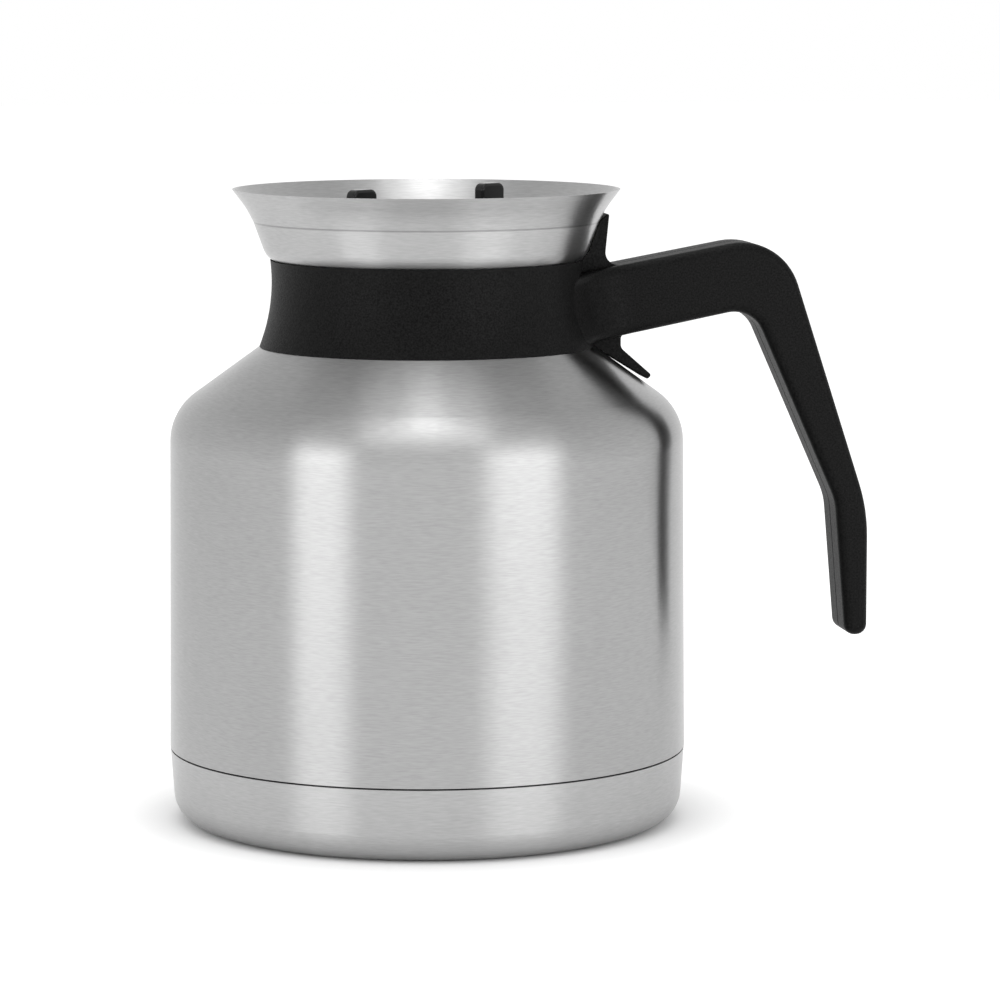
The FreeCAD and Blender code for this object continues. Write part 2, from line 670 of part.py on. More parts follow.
def make_handle_half(name, side):
    """Moulded half of collar, arm and grip, in front of the middle plane (side -1) or behind it (side 1)."""
    body = new_body(name)
    behind = side > 0
    root = number(ARM_ROOT) + TOLERANCE
    elbow = number(INNER_ELBOW_REACH)
    half_rib = number("rib_width / 2")
    half_thickness = number("handle_thickness / 2")

    rib_outline = draw_rib(body, f"{name}_rib_outline")
    rib = extrude(body, f"{name}_rib", rib_outline, "rib_width / 2", turned_back=behind)
    rib_edges = edges_where(rib, lambda box: lies_at(box, half_rib) and box.XMax > root)
    dress(body, f"{name}_rib_rounding", rib, "Fillet", rib_edges, "rib_edge")

    arm_outline = draw_arm(body, f"{name}_arm_outline")
    extrude(body, f"{name}_arm", arm_outline, ARM_FLARE_HALF, turned_back=behind)
    # The flanks lean with the collar, so that they meet it at a flat angle all the way up
    height = f"({ELBOW_HEIGHT} + overrun)"
    slide = f"(arm_flare_lean_share * {height} + overrun)"
    sides = draw_outline(body, f"{name}_side_outline", "XY_Plane", [
        (f"{GRIP_REACH} + {slide}", f"{side} * handle_thickness / 2"),
        (ARM_FLARE_REACH, f"{side} * handle_thickness / 2", "arm_flare_bend"),
        (ARM_FLARE_ROOT, f"{side} * {ARM_FLARE_HALF}"),
        (ARM_FLARE_ROOT, f"{side} * ({ARM_FLARE_HALF} + overrun)"),
        (f"{GRIP_REACH} + {slide}", f"{side} * ({ARM_FLARE_HALF} + overrun)"),
    ])
    slim = extrude(body, f"{name}_sides", sides, height, kind="Pocket", lean="-arm_flare_lean_share")

    def is_side_edge(box):
        outside = min(abs(box.YMin), abs(box.YMax)) > half_thickness - TOLERANCE
        return outside and (box.XLength > TOLERANCE or box.XMin > elbow)

    side_edges = edges_where(slim, is_side_edge)
    rounded = dress(body, f"{name}_edge_rounding", slim, "Fillet", side_edges, "handle_edge")
    parting_edges = edges_where(rounded, lambda box: lies_at(box, 0) and box.XMax > root)
    dress(body, f"{name}_parting", rounded, "Chamfer", parting_edges, "parting_chamfer")

    collar = draw_collar(body, f"{name}_collar_profile")
    revolve(body, f"{name}_collar", collar, angle=180, turned_back=not behind)
    vessel = draw_vessel(body, f"{name}_vessel_profile")
    revolve(body, f"{name}_neck_room", vessel, kind="Groove")

    holes = draw_circles(body, f"{name}_screw_holes", screw_places(), "screw_radius + screw_fit")
    depth = "handle_thickness" if behind else "screw_grip"
    extrude(body, f"{name}_screw_bores", holes, depth, kind="Pocket", turned_back=not behind)
    if behind:
        head_room = "screw_head_radius + screw_fit"
        seats = draw_circles(body, f"{name}_seat_holes", screw_places(), head_room)
        seats.setExpression("AttachmentOffset.Base.z", bound("-handle_thickness / 2"))
        extrude(body, f"{name}_screw_seats", seats, "screw_seat_depth", kind="Pocket", turned_back=True)
    return body


def make_handle_screws():
    """Screws from the rear half into the front half, as one group of solids."""
    screws = []
    for index, (reach, height) in enumerate(screw_places(), start=1):
        spans = (
            ("head", "screw_head_radius", "screw_head_height", f"{SEAT_REACH} + screw_head_height"),
            ("shank", "screw_radius", f"{SEAT_REACH} + screw_grip - screw_fit", SEAT_REACH),
        )
        rods = []
        for span, radius, length, start in spans:
            rod = doc.addObject("Part::Cylinder", f"screw_{index}_{span}")
            lying = FreeCAD.Rotation(FreeCAD.Vector(1, 0, 0), 90)
            rod.Placement = FreeCAD.Placement(FreeCAD.Vector(), lying)
            rod.setExpression("Radius", bound(radius))
            rod.setExpression("Height", bound(length))
            rod.setExpression("Placement.Base.x", bound(reach))
            rod.setExpression("Placement.Base.y", bound(start))
            rod.setExpression("Placement.Base.z", bound(height))
            rods.append(rod)
        screw = doc.addObject("Part::Fuse", f"screw_{index}")
        screw.Base, screw.Tool = rods
        screws.append(screw)
    group = doc.addObject("Part::Compound", "handle_screws")
    group.Label = "handle_screws"
    group.Links = screws
    return group


def cut_pour_slots(body, name):
    """Slots through a piece of the lid, evenly round it and clear of the wings."""
    middle = f"{PLUG_RADIUS} - pour_slot_inset"
    slot = draw_outline(body, f"{name}_slot_outline", "XY_Plane", [
        ("-pour_slot_length / 2", f"{middle} - pour_slot_width / 2", "pour_slot_corner"),
        ("pour_slot_length / 2", f"{middle} - pour_slot_width / 2", "pour_slot_corner"),
        ("pour_slot_length / 2", f"{middle} + pour_slot_width / 2", "pour_slot_corner"),
        ("-pour_slot_length / 2", f"{middle} + pour_slot_width / 2", "pour_slot_corner"),
    ])
    height = f"{FLANGE_TOP} + overrun"
    cut = extrude(body, f"{name}_slot", slot, height, kind="Pocket", turned_back=True)
    return repeat_round(body, f"{name}_slots", cut, POUR_SLOT_COUNT)


def turn_lid_piece(body):
    """Turn a piece of the lid so that the wings stand as they are left."""
    body.Placement = FreeCAD.Placement(FreeCAD.Vector(), FreeCAD.Rotation(FreeCAD.Vector(0, 0, 1), 1))
    body.setExpression("Placement.Rotation.Angle", bound("lid_angle * 1 deg"))


def make_lid_dish():
    """Upper half of the lid: a flange on the mouth's ledge, a funnel, its spout and two finger wings."""
    name = "lid_dish"
    body = turned_solid(name, [
        ("spout_bore_radius", f"{SOCKET_FLOOR} + spout_fit"),
        (SPOUT_RADIUS, f"{SOCKET_FLOOR} + spout_fit"),
        (SPOUT_RADIUS, funnel_under_at(SPOUT_RADIUS)),
        (SEAT_RADIUS, funnel_under_at(SEAT_RADIUS)),
        (SEAT_RADIUS, LID_SEAT),
        (LID_SEAT_RADIUS, LID_SEAT),
        (FLANGE_RADIUS, lid_seat_at(FLANGE_RADIUS)),
        (FLANGE_RADIUS, FLANGE_TOP, "flange_edge"),
        (FUNNEL_RADIUS, FLANGE_TOP),
        ("spout_bore_radius", FUNNEL_FOOT),
    ])
    inner = f"{PLUG_RADIUS} - wing_inset - wing_width / 2"
    outer = f"{PLUG_RADIUS} - wing_inset + wing_width / 2"
    top = f"{RIM_HEIGHT} + wing_proud"
    wing_outline = draw_outline(body, "wing_outline", "XZ_Plane", [
        (inner, f"{funnel_under_at(inner)} + lid_wall / 2"),
        (outer, f"{funnel_under_at(outer)} + lid_wall / 2"),
        (outer, top, "wing_corner"),
        (inner, top, "wing_corner"),
    ])
    wing = extrude(body, "wing", wing_outline, "wing_thickness", midplane=True)
    wings = repeat_round(body, "wings", wing, WING_COUNT)
    half = number("wing_thickness / 2")
    rim = number(FLANGE_TOP)
    wing_edges = edges_where(wings, lambda box: lies_at(box, half) and box.ZMax > rim)
    dress(body, "wing_rounding", wings, "Fillet", wing_edges, "wing_edge")
    cut_pour_slots(body, name)
    turn_lid_piece(body)
    return body


def make_lid_plug():
    """Lower half of the lid: a cup that hangs in the neck, with a groove for the gasket."""
    name = "lid_plug"
    floor = f"{PLUG_FOOT} + lid_wall"
    groove_top = f"{GROOVE_FOOT} + groove_width"
    body = turned_solid(name, [
        (SOCKET_BORE_RADIUS, PLUG_FOOT),
        (PLUG_RADIUS, PLUG_FOOT, "plug_foot_bend"),
        (PLUG_RADIUS, GROOVE_FOOT),
        (GROOVE_RADIUS, GROOVE_FOOT),
        (GROOVE_RADIUS, groove_top),
        (PLUG_RADIUS, groove_top),
        (PLUG_RADIUS, LID_SEAT),
        (f"{PLUG_RADIUS} - plug_wall", LID_SEAT),
        (f"{PLUG_RADIUS} - plug_wall", floor),
        (SOCKET_BORE_RADIUS, floor),
    ])
    cut_pour_slots(body, name)
    turn_lid_piece(body)
    return body


def make_lid_gasket():
    """Silicone ring in the plug's groove, with two lips towards the neck."""
    inner = f"{GROOVE_RADIUS} + lid_fit"
    back = f"{inner} + gasket_back"
    lip = f"{NECK_BORE_RADIUS} - lid_fit"
    foot = f"{GROOVE_FOOT} + lid_fit"
    top = f"{GROOVE_FOOT} + groove_width - lid_fit"
    return turned_solid("lid_gasket", [
        (inner, foot),
        (lip, foot),
        (lip, f"{foot} + gasket_lip"),
        (back, f"{foot} + gasket_lip"),
        (back, f"{top} - gasket_lip"),
        (lip, f"{top} - gasket_lip"),
        (lip, top),
        (inner, top),
    ])


def make_mixing_tube():
    """Tube from the lid's spout to the bottom of the flask, notched at its foot so that the drink mixes."""
    name = "mixing_tube"
    tube_radius = "spout_bore_radius + tube_wall"
    socket_radius = f"{SOCKET_BORE_RADIUS} + socket_wall"
    body = turned_solid(name, [
        ("spout_bore_radius", TUBE_FOOT),
        (tube_radius, TUBE_FOOT),
        (tube_radius, f"{SOCKET_FLOOR} - socket_wall"),
        (socket_radius, SOCKET_FLOOR),
        (socket_radius, PLUG_FOOT),
        (SOCKET_BORE_RADIUS, PLUG_FOOT),
        (SOCKET_BORE_RADIUS, SOCKET_FLOOR),
        ("spout_bore_radius", SOCKET_FLOOR),
    ])
    notch = draw_outline(body, f"{name}_notch_outline", "XZ_Plane", [
        ("-tube_notch_width / 2", f"{TUBE_FOOT} - overrun"),
        ("tube_notch_width / 2", f"{TUBE_FOOT} - overrun"),
        ("tube_notch_width / 2", f"{TUBE_FOOT} + tube_notch_height"),
        ("-tube_notch_width / 2", f"{TUBE_FOOT} + tube_notch_height"),
    ])
    extrude(body, f"{name}_notch", notch, f"2 * ({tube_radius} + overrun)", kind="Pocket", midplane=True)
    turn_lid_piece(body)
    return body


pieces = [
    make_outer_shell(),
    make_base_cup(),
    make_outer_bottom(),
    make_vacuum_seal(),
    make_getter(),
    make_flask_bottom(),
    make_inner_flask(),
    make_pouring_mouth(),
    make_handle_half("handle_front", -1),
    make_handle_half("handle_rear", 1),
    make_handle_screws(),
    make_lid_dish(),
    make_lid_plug(),
    make_lid_gasket(),
    make_mixing_tube(),
]
doc.recompute()

for item in doc.Objects:
    if "Invalid" in item.State or "Error" in item.State:
        raise RuntimeError(f"{item.Label} failed: {item.State}")
for piece in pieces:
    if piece.Shape.isNull() or not piece.Shape.isValid():
        raise RuntimeError(f"{piece.Label} has no valid shape")

os.makedirs("parts", exist_ok=True)
for piece in pieces:
    piece.Shape.exportStep(f"parts/{piece.Label}.step")
    box = piece.Shape.optimalBoundingBox(False, False)
    print(piece.Label, len(piece.Shape.Solids), round(piece.Shape.Volume), box)
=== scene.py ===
import math

import bpy
import numpy as np
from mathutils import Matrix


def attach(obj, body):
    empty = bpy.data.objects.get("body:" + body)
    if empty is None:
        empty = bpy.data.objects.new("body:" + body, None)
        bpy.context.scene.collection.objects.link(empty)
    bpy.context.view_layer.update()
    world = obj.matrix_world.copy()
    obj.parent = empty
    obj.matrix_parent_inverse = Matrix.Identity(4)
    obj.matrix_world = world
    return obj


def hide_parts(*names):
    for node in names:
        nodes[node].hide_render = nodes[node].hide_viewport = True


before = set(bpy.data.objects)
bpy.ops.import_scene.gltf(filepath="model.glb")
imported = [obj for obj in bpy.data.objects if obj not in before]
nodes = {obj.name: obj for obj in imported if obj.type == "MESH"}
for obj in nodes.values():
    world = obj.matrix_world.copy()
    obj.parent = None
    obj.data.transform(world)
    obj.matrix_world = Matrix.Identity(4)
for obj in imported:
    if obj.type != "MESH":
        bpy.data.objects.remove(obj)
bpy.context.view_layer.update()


# Steel vessel: the outer shell with its shoulder and neck, the base cup pressed over its foot and the
# pouring mouth spun from one sheet. All three are stainless steel, brushed while they turned on a
# lathe, so that fine scratches run round the axis and lights are drawn out up and down the wall.
SCRATCH_SCALE = (300, 300, 4200)
SCRATCH_STRENGTH = 0.05
SCRATCH_DEPTH = 0.00002
PATCH_SCALE = 22
PATCH_ROUGHNESS = 0.02
STEEL_EDGE = 0.84
QUARTER_TURN = 0.25
STEEL_ROUGHNESS = 0.31
STEEL_STRETCH = 0.96
CUP_DARK = 0.34
CUP_LIGHT = 0.48
SHELL_DARK = 0.31
SHELL_LIGHT = 0.44
MOUTH_DARK = 0.355
MOUTH_LIGHT = 0.5
SEAM_FOOT = 0.0105
SEAM_SHADE_SHARE = 0.08
CREASE_HEIGHT = 0.1692
CREASE_WIDTH = 0.0005
CREASE_SHADE_SHARE = 0.68


def new_material(name):
    """New material with a principled shader; gives the material, its tree and the shader."""
    material = bpy.data.materials.new(name)
    material.use_nodes = True
    tree = material.node_tree
    return material, tree, tree.nodes["Principled BSDF"]


def scaled_noise(tree, scale, detail, across=(1, 1, 1)):
    """Noise on the object's own coordinates, stretched by a factor for each axis; gives its value socket."""
    place = tree.nodes.new("ShaderNodeTexCoord")
    stretch = tree.nodes.new("ShaderNodeMapping")
    stretch.inputs["Scale"].default_value = across
    noise = tree.nodes.new("ShaderNodeTexNoise")
    noise.inputs["Scale"].default_value = scale
    noise.inputs["Detail"].default_value = detail
    tree.links.new(place.outputs["Object"], stretch.inputs["Vector"])
    tree.links.new(stretch.outputs["Vector"], noise.inputs["Vector"])
    return noise.outputs["Fac"]


def spread(tree, value, low, high):
    """A noise value, moved from the middle of its range, 0.3 to 0.7, to a range from low to high."""
    ramp = tree.nodes.new("ShaderNodeMapRange")
    ramp.inputs["From Min"].default_value = 0.3
    ramp.inputs["From Max"].default_value = 0.7
    ramp.inputs["To Min"].default_value = low
    ramp.inputs["To Max"].default_value = high
    tree.links.new(value, ramp.inputs["Value"])
    return ramp.outputs["Result"]


def shades(tree, value, dark, light):
    """Two colours mixed by a value; gives the colour socket."""
    mix = tree.nodes.new("ShaderNodeMix")
    mix.data_type = "RGBA"
    mix.inputs["A"].default_value = (*dark, 1)
    mix.inputs["B"].default_value = (*light, 1)
    tree.links.new(value, mix.inputs["Factor"])
    return mix.outputs["Result"]


def grey(level):
    """Colour with the same level of red, green and blue."""
    return (level, level, level)


def raise_bump(tree, shader, value, strength, height):
    """Lets a value stand out of the surface by a height in metres."""
    bump = tree.nodes.new("ShaderNodeBump")
    bump.inputs["Strength"].default_value = strength
    bump.inputs["Distance"].default_value = height
    tree.links.new(value, bump.inputs["Height"])
    tree.links.new(bump.outputs["Normal"], shader.inputs["Normal"])


def brushed(name, dark, light, roughness, stretch, shade_band=(0, 0, 1)):
    """Turned and brushed steel: scratches 3 mm long and a quarter of a millimetre wide round the axis. The
    colour is multiplied by a share inside one band round the axis, given by its height and half its width,
    which paints a band of shade."""
    material, tree, shader = new_material(name)
    scratches = scaled_noise(tree, 1, 1, SCRATCH_SCALE)
    patches = scaled_noise(tree, PATCH_SCALE, 2)
    # Band of painted shade: its height, half its width and the share of the colour kept inside it.
    height, half_width, share = shade_band
    place = tree.nodes.new("ShaderNodeTexCoord")
    split = tree.nodes.new("ShaderNodeSeparateXYZ")
    inside = tree.nodes.new("ShaderNodeMath")
    inside.operation = "COMPARE"
    inside.inputs[1].default_value = height
    inside.inputs[2].default_value = half_width
    colour = tree.nodes.new("ShaderNodeMix")
    colour.data_type = "RGBA"
    colour.blend_type = "MULTIPLY"
    colour.inputs["B"].default_value = (*grey(share), 1)
    tree.links.new(place.outputs["Object"], split.inputs["Vector"])
    tree.links.new(split.outputs["Z"], inside.inputs[0])
    tree.links.new(inside.outputs["Value"], colour.inputs["Factor"])
    tree.links.new(shades(tree, scratches, grey(dark), grey(light)), colour.inputs["A"])
    tree.links.new(colour.outputs["Result"], shader.inputs["Base Color"])
    patchy = spread(tree, patches, roughness - PATCH_ROUGHNESS, roughness + PATCH_ROUGHNESS)
    tree.links.new(patchy, shader.inputs["Roughness"])
    raise_bump(tree, shader, scratches, SCRATCH_STRENGTH, SCRATCH_DEPTH)
    round_axis = tree.nodes.new("ShaderNodeTangent")
    round_axis.direction_type = "RADIAL"
    round_axis.axis = "Z"
    tree.links.new(round_axis.outputs["Tangent"], shader.inputs["Tangent"])
    shader.inputs["Metallic"].default_value = 1
    shader.inputs["Specular Tint"].default_value = (*grey(STEEL_EDGE), 1)
    shader.inputs["Anisotropic"].default_value = stretch
    shader.inputs["Anisotropic Rotation"].default_value = QUARTER_TURN
    return material


def finish_node(name, material):
    """Gives a carried-over node its material."""
    nodes[name].data.materials.clear()
    nodes[name].data.materials.append(material)


cup_steel = brushed("cup_steel", CUP_DARK, CUP_LIGHT, STEEL_ROUGHNESS, STEEL_STRETCH)
finish_node("base_cup", cup_steel)
# Painted shade: the shell's foot inside the cup is darkened almost to black, so that the seam between the cup
# and the shell shows dark.
seam_shade_band = (SEAM_FOOT, SEAM_FOOT, SEAM_SHADE_SHARE)
shell_steel = brushed("shell_steel", SHELL_DARK, SHELL_LIGHT, STEEL_ROUGHNESS, STEEL_STRETCH, seam_shade_band)
finish_node("outer_shell", shell_steel)
# Painted shade: a narrow darker band round the mouth where it turns into its flare, the shade of the crease
# there.
crease_shade_band = (CREASE_HEIGHT, CREASE_WIDTH / 2, CREASE_SHADE_SHARE)
mouth_steel = brushed("mouth_steel", MOUTH_DARK, MOUTH_LIGHT, STEEL_ROUGHNESS, STEEL_STRETCH, crease_shade_band)
finish_node("pouring_mouth", mouth_steel)


# Inner flask, its drawn bottom and the disc that closes the vacuum space: the same sheet left satin
# from drawing and welded together. A brazed button covers the hole that the air went out of, and a
# sintered pellet on the disc takes up the gas that is left.
FLASK_DARK = 0.38
FLASK_LIGHT = 0.54
FLASK_ROUGHNESS = 0.36
FLASK_STRETCH = 0.4
BRAZE_DARK = (0.42, 0.36, 0.26)
BRAZE_LIGHT = (0.6, 0.53, 0.4)
BRAZE_SCALE = 900
BRAZE_ROUGHNESS = 0.4
PELLET_DARK = (0.05, 0.05, 0.055)
PELLET_LIGHT = (0.12, 0.12, 0.12)
PELLET_SCALE = 2500
PELLET_METAL = 0.6
PELLET_ROUGHNESS = 0.7

flask_steel = brushed("satin_steel", FLASK_DARK, FLASK_LIGHT, FLASK_ROUGHNESS, FLASK_STRETCH)
for name in ("inner_flask", "flask_bottom", "outer_bottom"):
    finish_node(name, flask_steel)

braze, tree, shader = new_material("brazing_metal")
braze_grain = scaled_noise(tree, BRAZE_SCALE, 3)
tree.links.new(shades(tree, braze_grain, BRAZE_DARK, BRAZE_LIGHT), shader.inputs["Base Color"])
shader.inputs["Metallic"].default_value = 1
shader.inputs["Roughness"].default_value = BRAZE_ROUGHNESS
finish_node("vacuum_seal", braze)

pellet, tree, shader = new_material("sintered_pellet")
pellet_grain = scaled_noise(tree, PELLET_SCALE, 2)
tree.links.new(shades(tree, pellet_grain, PELLET_DARK, PELLET_LIGHT), shader.inputs["Base Color"])
shader.inputs["Metallic"].default_value = PELLET_METAL
shader.inputs["Roughness"].default_value = PELLET_ROUGHNESS
finish_node("getter", pellet)


# Handle: two halves moulded in black plastic, each with half of the collar, arm and grip, which meet in
# the middle plane and close round the neck. The mould left a fine spark-eroded grain on all of it.
GRAIN_SCALE = 2100
GRAIN_STRENGTH = 0.3
GRAIN_DEPTH = 0.0002
GRAIN_DARK = 0.0003
GRAIN_LIGHT = 0.008
GRAIN_LOW_ROUGHNESS = 0.53
GRAIN_HIGH_ROUGHNESS = 0.41
HANDLE_SHEEN = 0.08

handle_plastic, tree, shader = new_material("grained_plastic")
grain = scaled_noise(tree, GRAIN_SCALE, 2)
grain_colour = shades(tree, spread(tree, grain, 0, 1), grey(GRAIN_DARK), grey(GRAIN_LIGHT))
tree.links.new(grain_colour, shader.inputs["Base Color"])
grain_roughness = spread(tree, grain, GRAIN_LOW_ROUGHNESS, GRAIN_HIGH_ROUGHNESS)
tree.links.new(grain_roughness, shader.inputs["Roughness"])
raise_bump(tree, shader, grain, GRAIN_STRENGTH, GRAIN_DEPTH)
shader.inputs["Specular IOR Level"].default_value = HANDLE_SHEEN
for name in ("handle_front", "handle_rear"):
    finish_node(name, handle_plastic)


# Handle screws: three zinc-plated pan-head screws with a cross recess, driven from the rear half into
# the front half. Their heads sit at the bottom of round seats.
SCREW_PLACES = ((0.0640, 0.14869), (0.0954, 0.15276), (0.11397, 0.10703))
SCREW_SEAT = 0.005
SCREW_HEAD_RADIUS = 0.0028
SCREW_HEAD_HEIGHT = 0.002
SCREW_RADIUS = 0.0015
SCREW_END = -0.0059
CROWN_SHARE = 0.6
CROWN_POWER = 0.6
CROWN_RINGS = 22
ROUND_STEPS = 96
POLE_SHARE = 0.0001
RECESS_RADIUS = 0.0017
RECESS_WIDTH = 0.0006
RECESS_DEPTH = 0.0012
RECESS_SLOPE = 0.00012
ZINC_DARK = (0.42, 0.43, 0.45)
ZINC_LIGHT = (0.56, 0.57, 0.59)
ZINC_CLOUD_SCALE = 700
ZINC_HAZE_SCALE = 400
ZINC_LOW_ROUGHNESS = 0.28
ZINC_HIGH_ROUGHNESS = 0.4


def grid_mesh(name, points):
    """Closed mesh from a grid of points: rows run from pole to pole, columns close round on themselves."""
    rows, columns = points.shape[:2]
    index = np.arange(rows * columns).reshape(rows, columns)
    beside = np.roll(index, -1, axis=1)
    quads = np.stack([index[:-1], beside[:-1], beside[1:], index[1:]], axis=-1).reshape(-1, 4)
    mesh = bpy.data.meshes.new(name)
    mesh.from_pydata(points.reshape(-1, 3), [], quads.tolist())
    mesh.update()
    return mesh


def screw_points(reach, height):
    """A pan head's outline turned about the screw's axis: radius and depth follow the outline. The crown is
    the cosine of a quarter turn to a power. Inside the recess, each point goes down by the depth where it
    lies within half a width of either bar of the cross."""
    turn = np.linspace(0, 2 * math.pi, ROUND_STEPS, endpoint=False)
    crown = np.linspace(POLE_SHARE, 1, CROWN_RINGS)
    head_radius = SCREW_HEAD_RADIUS * np.sin(crown * math.pi / 2)
    head_rise = 1 - CROWN_SHARE + CROWN_SHARE * np.cos(crown * math.pi / 2) ** CROWN_POWER
    head_top = SCREW_SEAT + SCREW_HEAD_HEIGHT * head_rise
    shank_radius = [SCREW_HEAD_RADIUS, SCREW_RADIUS, SCREW_RADIUS, POLE_SHARE * SCREW_RADIUS]
    radius = np.concatenate([head_radius, shank_radius])
    depth = np.concatenate([head_top, [SCREW_SEAT, SCREW_SEAT, SCREW_END, SCREW_END]])
    across = radius[:, None] * np.cos(turn)
    along = radius[:, None] * np.sin(turn)
    bar = np.minimum(abs(across), abs(along))
    in_bar = np.clip((RECESS_WIDTH / 2 - bar) / RECESS_SLOPE + 0.5, 0, 1)
    in_recess = in_bar * (radius[:, None] < RECESS_RADIUS)
    on_head = (np.arange(len(radius)) < len(crown))[:, None]
    out = depth[:, None] - RECESS_DEPTH * in_recess * on_head
    return np.stack([reach + across, out, height - along], axis=-1)


screw_zinc, tree, shader = new_material("zinc_plate")
zinc_cloud = scaled_noise(tree, ZINC_CLOUD_SCALE, 2)
zinc_haze = scaled_noise(tree, ZINC_HAZE_SCALE, 2)
tree.links.new(shades(tree, zinc_cloud, ZINC_DARK, ZINC_LIGHT), shader.inputs["Base Color"])
zinc_roughness = spread(tree, zinc_haze, ZINC_LOW_ROUGHNESS, ZINC_HIGH_ROUGHNESS)
tree.links.new(zinc_roughness, shader.inputs["Roughness"])
shader.inputs["Metallic"].default_value = 1
for number, (reach, height) in enumerate(SCREW_PLACES, start=1):
    screw_name = f"handle_screw_{number}"
    screw_mesh = grid_mesh(screw_name, screw_points(reach, height))
    screw_mesh.materials.append(screw_zinc)
    screw = bpy.data.objects.new(screw_name, screw_mesh)
    bpy.context.scene.collection.objects.link(screw)
    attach(screw, "carafe")
    if number == 1:
        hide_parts("handle_screws")


# Lid: a funnel dish with two finger wings, the plug that hangs in the neck and the mixing tube. They
# are moulded in smooth black plastic and snapped together at the spout.
RIPPLE_SCALE = 160
RIPPLE_STRENGTH = 0.1
RIPPLE_DEPTH = 0.0001
LID_DARK = 0.001
LID_LIGHT = 0.004
LID_HAZE_SCALE = 320
LID_LOW_ROUGHNESS = 0.10
LID_HIGH_ROUGHNESS = 0.18
LID_SHEEN = 0.3

lid_plastic, tree, shader = new_material("smooth_plastic")
ripple = scaled_noise(tree, RIPPLE_SCALE, 2)
lid_haze = scaled_noise(tree, LID_HAZE_SCALE, 3)
tree.links.new(shades(tree, ripple, grey(LID_DARK), grey(LID_LIGHT)), shader.inputs["Base Color"])
tree.links.new(spread(tree, lid_haze, LID_LOW_ROUGHNESS, LID_HIGH_ROUGHNESS), shader.inputs["Roughness"])
raise_bump(tree, shader, ripple, RIPPLE_STRENGTH, RIPPLE_DEPTH)
shader.inputs["Specular IOR Level"].default_value = LID_SHEEN
for name in ("lid_dish", "lid_plug", "mixing_tube"):
    finish_node(name, lid_plastic)


# Lid gasket: a ring of dark silicone with two lips, stretched into the plug's groove. It is pressed in a
# heated mould, which leaves it matt.
DUST_SCALE = 1200
GASKET_DARK = 0.03
GASKET_LIGHT = 0.05
GASKET_LOW_ROUGHNESS = 0.55
GASKET_HIGH_ROUGHNESS = 0.7

silicone, tree, shader = new_material("silicone")
dust = scaled_noise(tree, DUST_SCALE, 3)
tree.links.new(shades(tree, dust, grey(GASKET_DARK), grey(GASKET_LIGHT)), shader.inputs["Base Color"])
tree.links.new(spread(tree, dust, GASKET_LOW_ROUGHNESS, GASKET_HIGH_ROUGHNESS), shader.inputs["Roughness"])
finish_node("lid_gasket", silicone)


# Studio room: a plain white surround. Straight, mirrored and see-through rays meet plain white, a little
# darker overhead where it is mirrored; the rest get the softer room light.
ROOM_LIGHT = 0.85
CEILING_LIGHT = 0.75
CEILING_START = 0.3
CEILING_FULL = 0.85


def white_for_sight(tree):
    """One where the ray comes from the camera, a reflection or clear material, and nought elsewhere."""
    path = tree.nodes.new("ShaderNodeLightPath")
    either = tree.nodes.new("ShaderNodeMath")
    either.operation = "MAXIMUM"
    any_ray = tree.nodes.new("ShaderNodeMath")
    any_ray.operation = "MAXIMUM"
    tree.links.new(path.outputs["Is Camera Ray"], either.inputs[0])
    tree.links.new(path.outputs["Is Glossy Ray"], either.inputs[1])
    tree.links.new(either.outputs["Value"], any_ray.inputs[0])
    tree.links.new(path.outputs["Is Transmission Ray"], any_ray.inputs[1])
    return any_ray.outputs["Value"]


world = bpy.data.worlds.new("white_room")
world.use_nodes = True
room = world.node_tree
sky = room.nodes["Background"]
aim = room.nodes.new("ShaderNodeTexCoord")
upward = room.nodes.new("ShaderNodeSeparateXYZ")
ceiling = room.nodes.new("ShaderNodeMapRange")
ceiling.inputs["From Min"].default_value = CEILING_START
ceiling.inputs["From Max"].default_value = CEILING_FULL
ceiling.inputs["To Min"].default_value = 1.0
ceiling.inputs["To Max"].default_value = CEILING_LIGHT
level = room.nodes.new("ShaderNodeMapRange")
level.inputs["To Min"].default_value = ROOM_LIGHT
room.links.new(aim.outputs["Generated"], upward.inputs["Vector"])
room.links.new(upward.outputs["Z"], ceiling.inputs["Value"])
room.links.new(ceiling.outputs["Result"], level.inputs["To Max"])
room.links.new(white_for_sight(room), level.inputs["Value"])
room.links.new(level.outputs["Result"], sky.inputs["Strength"])
sky.inputs["Color"].default_value = (1, 1, 1, 1)
bpy.context.scene.world = world


# Floor: a wide pale matt board just under the base. Away from the base it glows a little where it is seen
# or mirrored, so that it goes over into the white surround without an edge.
FLOOR_HALF = 6.0
FLOOR_DROP = 0.0002
FLOOR_GREY = 0.85
FLOOR_ROUGHNESS = 0.9
GLOW_START = 0.064
GLOW_FULL = 0.105
GLOW_LIGHT = 0.34
GLOW_MIRRORED = 0.9

floor_mesh = bpy.data.meshes.new("floor")
floor_corners = np.array([[-1, -1], [1, -1], [1, 1], [-1, 1]]) * FLOOR_HALF
floor_mesh.from_pydata(np.column_stack([floor_corners, np.full(4, -FLOOR_DROP)]), [], [[0, 1, 2, 3]])
floor = bpy.data.objects.new("floor", floor_mesh)
bpy.context.scene.collection.objects.link(floor)
floor_paint, tree, shader = new_material("floor_paint")
shader.inputs["Base Color"].default_value = (*grey(FLOOR_GREY), 1)
shader.inputs["Roughness"].default_value = FLOOR_ROUGHNESS
shader.inputs["Specular IOR Level"].default_value = 0.0
shader.inputs["Emission Color"].default_value = (1, 1, 1, 1)
place = tree.nodes.new("ShaderNodeTexCoord")
distance = tree.nodes.new("ShaderNodeVectorMath")
distance.operation = "LENGTH"
far_glow = tree.nodes.new("ShaderNodeMapRange")
far_glow.inputs["From Min"].default_value = GLOW_START
